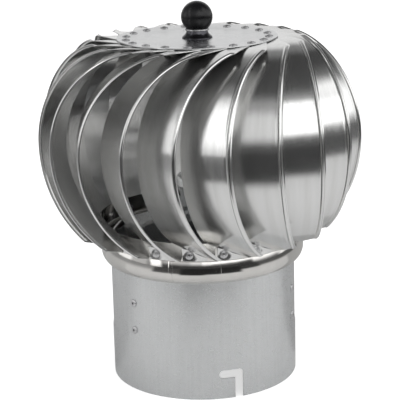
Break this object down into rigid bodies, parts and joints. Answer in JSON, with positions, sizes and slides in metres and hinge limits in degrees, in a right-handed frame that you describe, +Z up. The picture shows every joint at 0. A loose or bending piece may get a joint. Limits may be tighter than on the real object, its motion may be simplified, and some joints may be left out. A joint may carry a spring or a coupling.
{
  "type": "rotating chimney cowl",
  "caption": "Rotating chimney cowl: a ball-shaped turbine of curved steel blades turns on bearings above a round flue tube, with a collar ring and a black ball knob on top.",
  "frame": {"origin": "on the turning axis, in the plane of the tube's lower rim", "axes": "+Z up along the turning axis; -Y is the side seen in the picture, +X is to its right"},
  "size_m": [0.2554, 0.2554, 0.3041],
  "materials": {
    "galvanised": "matt galvanised sheet",
    "housing_steel": "turned steel, dull",
    "blade_steel": "rolled stainless sheet, bright with a fine grain",
    "collar_steel": "polished stainless sheet",
    "disc_sheet": "smooth bright sheet",
    "rivet_aluminium": "satin",
    "fastener_steel": "bright zinc plated",
    "bearing_steel": "ground and polished",
    "spring_steel": "dark oiled",
    "cage_plastic": "matt",
    "axle_steel": "turned",
    "cone_metal": "dark burnished",
    "knob_plastic": "high gloss black"
  },
  "bodies": {
    "base": {"base_tube": "galvanised", "tube_rivets": "rivet_aluminium", "spider_arm_1": "galvanised", "spider_arm_2": "galvanised", "spider_arm_3": "galvanised", "bearing_housing": "housing_steel", "arm_screws": "fastener_steel", "arm_nuts": "fastener_steel", "upper_bearing_outer": "bearing_steel", "lower_bearing_outer": "bearing_steel", "housing_circlip_upper": "spring_steel", "housing_circlip_lower": "spring_steel"},
    "lower_cage": {"lower_bearing_cage": "cage_plastic", "lower_bearing_balls": "bearing_steel"},
    "upper_cage": {"upper_bearing_cage": "cage_plastic", "upper_bearing_balls": "bearing_steel"},
    "rotor": {"dust_cap": "galvanised", "hub_flange": "housing_steel", "blade_01": "blade_steel", "blade_02": "blade_steel", "blade_03": "blade_steel", "blade_04": "blade_steel", "blade_05": "blade_steel", "blade_06": "blade_steel", "blade_07": "blade_steel", "blade_08": "blade_steel", "blade_09": "blade_steel", "blade_10": "blade_steel", "blade_11": "blade_steel", "blade_12": "blade_steel", "blade_13": "blade_steel", "blade_14": "blade_steel", "blade_15": "blade_steel", "blade_16": "blade_steel", "blade_17": "blade_steel", "blade_18": "blade_steel", "blade_19": "blade_steel", "blade_20": "blade_steel", "collar_ring": "collar_steel", "top_disc": "disc_sheet", "disc_rivets": "rivet_aluminium", "collar_rivets": "rivet_aluminium", "axle_nut": "fastener_steel", "axle_washer": "fastener_steel", "hub_set_screw": "fastener_steel", "knob_washer": "fastener_steel", "knob_insert": "fastener_steel", "upper_bearing_inner": "bearing_steel", "lower_bearing_inner": "bearing_steel", "bearing_spacer": "bearing_steel", "axle": "axle_steel", "hub_cone": "cone_metal", "ball_knob": "knob_plastic"}
  },
  "joints": [
    {"name": "turbine_spin", "type": "hinge", "parent": "base", "child": "rotor", "pos_m": [0, 0, 0.142], "axis": [0, 0, 1], "continuous": true},
    {"name": "lower_cage_spin", "type": "hinge", "parent": "base", "child": "lower_cage", "pos_m": [0, 0, 0.128], "axis": [0, 0, 1], "continuous": true},
    {"name": "upper_cage_spin", "type": "hinge", "parent": "base", "child": "upper_cage", "pos_m": [0, 0, 0.156], "axis": [0, 0, 1], "continuous": true}
  ],
  "couplings": [
    {"joint": "lower_cage_spin", "follows": "turbine_spin", "ratio": 0.3667},
    {"joint": "upper_cage_spin", "follows": "turbine_spin", "ratio": 0.3667}
  ]
}
